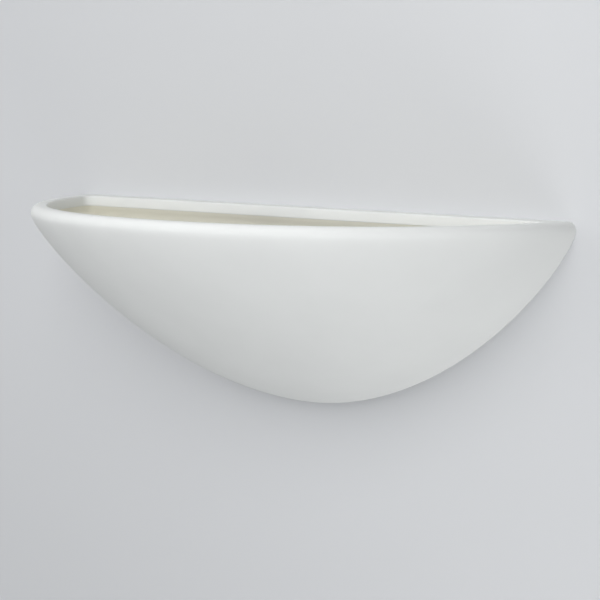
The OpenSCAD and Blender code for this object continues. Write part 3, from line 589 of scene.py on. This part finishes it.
class Finish:
    """A procedural material: a Principled shader and the texture nodes that vary it."""

    def __init__(self, name, color, roughness, metallic=0.0):
        self.material = bpy.data.materials.new(name)
        self.material.use_nodes = True
        self.nodes = self.material.node_tree.nodes
        self.links = self.material.node_tree.links
        self.shader = self.nodes["Principled BSDF"]
        self.color = color
        self.set("Base Color", (*color, 1))
        self.set("Roughness", roughness)
        self.set("Metallic", metallic)
        self.place = self.nodes.new("ShaderNodeTexCoord").outputs["Object"]
        self.relief = None

    def set(self, socket, value):
        self.shader.inputs[socket].default_value = value

    def texture(self, kind, feature, stretch=None):
        """A texture node whose features are about that many mm across."""
        node = self.nodes.new(kind)
        node.inputs["Scale"].default_value = 1 / (feature * MM)
        place = self.place
        if stretch:
            mapping = self.nodes.new("ShaderNodeMapping")
            mapping.inputs["Scale"].default_value = stretch
            self.links.new(place, mapping.inputs["Vector"])
            place = mapping.outputs["Vector"]
        self.links.new(place, node.inputs["Vector"])
        return node

    def noise(self, feature, detail=2.0, stretch=None):
        node = self.texture("ShaderNodeTexNoise", feature, stretch)
        node.inputs["Detail"].default_value = detail
        return node.outputs["Fac"]

    def cells(self, feature, output="Color"):
        return self.texture("ShaderNodeTexVoronoi", feature).outputs[output]

    def vary_color(self, fac, first, second, low=NOISE_LOW, high=NOISE_HIGH):
        """A texture runs the base colour from one share of itself to another."""
        ramp = self.nodes.new("ShaderNodeValToRGB")
        for element, at, share in zip(ramp.color_ramp.elements, (low, high), (first, second)):
            element.position = at
            element.color = (*(min(1, c * share) for c in self.color), 1)
        self.links.new(fac, ramp.inputs["Fac"])
        self.links.new(ramp.outputs["Color"], self.shader.inputs["Base Color"])

    def vary_roughness(self, fac, low, high):
        node = self.nodes.new("ShaderNodeMapRange")
        node.inputs["From Min"].default_value = NOISE_LOW
        node.inputs["From Max"].default_value = NOISE_HIGH
        node.inputs["To Min"].default_value = low
        node.inputs["To Max"].default_value = high
        self.links.new(fac, node.inputs["Value"])
        self.links.new(node.outputs["Result"], self.shader.inputs["Roughness"])

    def bump(self, height, depth):
        """Relief of about that depth in mm; several calls add up."""
        node = self.nodes.new("ShaderNodeBump")
        node.inputs["Strength"].default_value = 1.0
        node.inputs["Distance"].default_value = depth * MM
        self.links.new(height, node.inputs["Height"])
        if self.relief is not None:
            self.links.new(self.relief, node.inputs["Normal"])
        self.relief = node.outputs["Normal"]
        self.links.new(self.relief, self.shader.inputs["Normal"])


def plaster(name, color, mottle):
    """Matte cast plaster: clouds of tone a few centimetres wide, and a fine sanded grain."""
    finish = Finish(name, color, roughness=0.82)
    finish.set("Specular IOR Level", 0.3)
    finish.vary_color(finish.noise(45, detail=3), 1 - mottle, 1.0)
    finish.vary_roughness(finish.noise(12), 0.76, 0.88)
    finish.bump(finish.noise(0.9, detail=3), 0.02)
    finish.bump(finish.noise(14), 0.05)


def moulded(name, color, roughness, grain=0.5, shade=0.92):
    """Moulded plastic, rubber or glaze with a faint grain."""
    finish = Finish(name, color, roughness)
    finish.vary_color(finish.noise(9, detail=3), shade, 1.05)
    finish.vary_roughness(finish.noise(5), max(0.05, roughness - 0.06), roughness + 0.06)
    finish.bump(finish.noise(grain), 0.012)
    return finish


def plated(name, color, roughness):
    """Plated or bare metal with a fine grain."""
    finish = Finish(name, color, roughness, metallic=1.0)
    finish.vary_color(finish.noise(4, detail=3), 0.88, 1.04)
    finish.vary_roughness(finish.noise(1.5), roughness - 0.07, roughness + 0.09)
    finish.bump(finish.noise(0.35), 0.006)


def zinc():
    """Zinc-plated sheet: pale crystals a few millimetres wide over a grain rolled along X."""
    finish = Finish("zinc_steel", (0.66, 0.67, 0.68), roughness=0.38, metallic=1.0)
    finish.vary_color(finish.cells(3.2), 0.9, 1.05, low=0.2, high=0.8)
    finish.vary_roughness(finish.noise(2.5, detail=3), 0.3, 0.46)
    finish.bump(finish.noise(0.4, stretch=(0.15, 1, 1)), 0.006)


def sleeve_braid():
    """Woven glass-fibre sleeve: pale knots of yarn, with painted shade darkening the creases
    between them.
    """
    finish = Finish("glass_sleeve", (0.8, 0.78, 0.7), roughness=0.7)
    # painted shade: the colour falls from each knot's middle to 0.68 of itself in the creases
    # between knots
    finish.vary_color(finish.cells(0.9, "Distance"), 1.06, 0.68, low=0.15, high=0.75)
    finish.bump(finish.cells(0.9, "Distance"), -0.35)


def opal():
    """Opal lamp globe: milky, softly glossy."""
    finish = moulded("lamp_opal", (0.9, 0.9, 0.88), 0.32, grain=0.8, shade=0.98)
    finish.set("Subsurface Weight", 0.25)
    finish.set("Subsurface Radius", (1.0, 0.9, 0.8))
    finish.set("Subsurface Scale", 2.5 * MM)


def make_materials():
    """One material for each slot in the record, and two for the shell: outside and lining."""
    plaster("plaster_outside", (0.83, 0.845, 0.835), mottle=0.03)
    # The lining's tone is warmer than the outside's, with less blue.
    plaster("plaster_inside", (0.84, 0.825, 0.74), mottle=0.05)
    zinc()
    plated("nickel_steel", (0.74, 0.72, 0.68), 0.24)
    plated("brass", (0.76, 0.6, 0.3), 0.28)
    moulded("grommet_rubber", (0.05, 0.05, 0.05), 0.62)
    moulded("strip_plastic", (0.85, 0.84, 0.8), 0.42, shade=0.96)
    moulded("holder_plastic", (0.03, 0.03, 0.032), 0.3)
    moulded("holder_porcelain", (0.87, 0.86, 0.82), 0.18, shade=0.97)
    moulded("lead_brown", (0.16, 0.07, 0.03), 0.4)
    moulded("lead_blue", (0.05, 0.13, 0.42), 0.4)
    moulded("lead_green", (0.1, 0.35, 0.08), 0.4)
    moulded("lamp_plastic", (0.88, 0.88, 0.86), 0.4, shade=0.97)
    moulded("led_board", (0.82, 0.82, 0.8), 0.45, shade=0.95)
    moulded("cap_insulator", (0.04, 0.04, 0.05), 0.12)
    sleeve_braid()
    opal()


def dress_frame(frame):
    """Gives every CAD node the procedural material of its slot in the record."""
    for part in frame["record"]["subparts"]:
        slot = part["material_slot"]
        name = "plaster_outside" if slot == "shell_plaster" else slot
        mesh = frame["nodes"][part["node"]].data
        mesh.materials.clear()
        mesh.materials.append(bpy.data.materials[name])


# ---- stage, lights and camera --------------------------------------------------------------------


def stage_material(name, color, glow):
    """A plain matte tone seen from its front, and nothing seen from behind.

    glow is the share of the tone that a camera sees whatever light falls there, which lights
    nothing else.
    """
    material = bpy.data.materials.new(name)
    material.use_nodes = True
    nodes, links = material.node_tree.nodes, material.node_tree.links
    nodes.clear()
    diffuse = nodes.new("ShaderNodeBsdfDiffuse")
    diffuse.inputs["Color"].default_value = (*color, 1)
    shine = nodes.new("ShaderNodeEmission")
    shine.inputs["Color"].default_value = (*color, 1)
    path = nodes.new("ShaderNodeLightPath")
    seen = nodes.new("ShaderNodeMath")
    seen.operation = "MULTIPLY"
    seen.inputs[1].default_value = glow
    both = nodes.new("ShaderNodeAddShader")
    clear = nodes.new("ShaderNodeBsdfTransparent")
    mix = nodes.new("ShaderNodeMixShader")
    side = nodes.new("ShaderNodeNewGeometry")
    out = nodes.new("ShaderNodeOutputMaterial")
    links.new(side.outputs["Backfacing"], mix.inputs["Fac"])
    links.new(path.outputs["Is Camera Ray"], seen.inputs[0])
    links.new(seen.outputs[0], shine.inputs["Strength"])
    links.new(diffuse.outputs["BSDF"], both.inputs[0])
    links.new(shine.outputs["Emission"], both.inputs[1])
    links.new(both.outputs[0], mix.inputs[1])
    links.new(clear.outputs["BSDF"], mix.inputs[2])
    links.new(mix.outputs["Shader"], out.inputs["Surface"])
    return material


def build_stage():
    """A plain pale wall behind the light and a floor well below it."""
    left, right = -STAGE_HALF, STAGE_HALF
    foot = [(left, WALL_Y, FLOOR_Z), (right, WALL_Y, FLOOR_Z)]
    top = [(right, WALL_Y, WALL_TOP), (left, WALL_Y, WALL_TOP)]
    front = [(left, STAGE_FRONT, FLOOR_Z), (right, STAGE_FRONT, FLOOR_Z)]
    for name, corners, tone, glow in (
        ("stage_wall", foot + top, WALL_TONE, WALL_GLOW),
        ("stage_floor", front + foot[::-1], FLOOR_TONE, FLOOR_GLOW),
    ):
        piece = mesh_object(name, corners, [(0, 1, 2, 3)], scale=1)
        piece.data.materials.append(stage_material(name + "_paint", tone, glow))
        piece.visible_diffuse = False
        piece.visible_shadow = False


def add_facing(name, data, target, azimuth, elevation, distance):
    """Adds a light or a camera that faces a target, from a direction in degrees and a distance."""
    a, e = math.radians(azimuth), math.radians(elevation)
    back = Vector((math.sin(a) * math.cos(e), -math.cos(a) * math.cos(e), math.sin(e)))
    obj = bpy.data.objects.new(name, data)
    obj.location = target + back * distance
    obj.rotation_mode = "QUATERNION"
    obj.rotation_quaternion = (-back).to_track_quat("-Z", "Y")
    bpy.context.scene.collection.objects.link(obj)
    return obj


def build_world():
    """Even light all round, and white wherever a camera, gloss or glass ray meets it."""
    world = bpy.data.worlds.new("studio")
    bpy.context.scene.world = world
    world.use_nodes = True
    nodes, links = world.node_tree.nodes, world.node_tree.links
    nodes.clear()
    dim = nodes.new("ShaderNodeBackground")
    dim.inputs["Color"].default_value = (*WORLD_TINT, 1)
    dim.inputs["Strength"].default_value = WORLD_STRENGTH
    white = nodes.new("ShaderNodeBackground")
    white.inputs["Color"].default_value = (1, 1, 1, 1)
    white.inputs["Strength"].default_value = 1.0
    path = nodes.new("ShaderNodeLightPath")
    seen = path.outputs["Is Camera Ray"]
    for ray in ("Is Glossy Ray", "Is Transmission Ray"):
        either = nodes.new("ShaderNodeMath")
        either.operation = "MAXIMUM"
        links.new(seen, either.inputs[0])
        links.new(path.outputs[ray], either.inputs[1])
        seen = either.outputs[0]
    mix = nodes.new("ShaderNodeMixShader")
    out = nodes.new("ShaderNodeOutputWorld")
    links.new(seen, mix.inputs["Fac"])
    links.new(dim.outputs["Background"], mix.inputs[1])
    links.new(white.outputs["Background"], mix.inputs[2])
    links.new(mix.outputs["Shader"], out.inputs["Surface"])


def build_lights():
    """The soft square lights, which the camera doesn't see."""
    for name, azimuth, elevation, distance, size, share in LIGHTS:
        data = bpy.data.lights.new(name, "AREA")
        data.shape = "SQUARE"
        data.size = size
        data.energy = share * (math.pi * distance) ** 2
        light = add_facing(name, data, LIGHT_TARGET, azimuth, elevation, distance)
        light.visible_camera = False


def build_camera():
    data = bpy.data.cameras.new("camera")
    data.lens = VIEW_LENS
    camera = add_facing("camera", data, VIEW_TARGET, VIEW_AZIMUTH, VIEW_ELEVATION, VIEW_DISTANCE)
    bpy.context.scene.camera = camera


# ---- everything together -------------------------------------------------------------------------


def stand_in(piece, node, body, slot):
    """Puts a piece on a body in place of a CAD node, and dresses it by its slot."""
    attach(piece, body)
    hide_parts(node)
    if not piece.data.materials:
        piece.data.materials.append(bpy.data.materials[slot])


def main():
    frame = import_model()
    bpy.context.scene.view_settings.view_transform = "Standard"
    build_camera()
    make_materials()
    dress_frame(frame)

    stand_in(build_shell(), "shell", "shell", "shell_plaster")
    live = lead("live_run", holder_route(LIVE_START, 1))
    neutral = lead("neutral_run", holder_route(NEUTRAL_START, -1))
    stand_in(live, "live_lead", "mounting", "lead_brown")
    stand_in(neutral, "neutral_lead", "mounting", "lead_blue")
    stand_in(lead("earth_run", EARTH_ROUTE), "earth_lead", "mounting", "lead_green")
    stand_in(build_sleeve(), "lead_sleeve", "mounting", "glass_sleeve")
    stand_in(build_nipple(), "nipple", "mounting", "zinc_steel")
    stand_in(build_lamp_cap(), "lamp_cap", "lamp", "nickel_steel")
    stand_in(build_housing(), "lamp_body", "lamp", "lamp_plastic")
    stand_in(build_globe(), "lamp_globe", "lamp", "lamp_opal")

    build_stage()
    build_world()
    build_lights()


main()
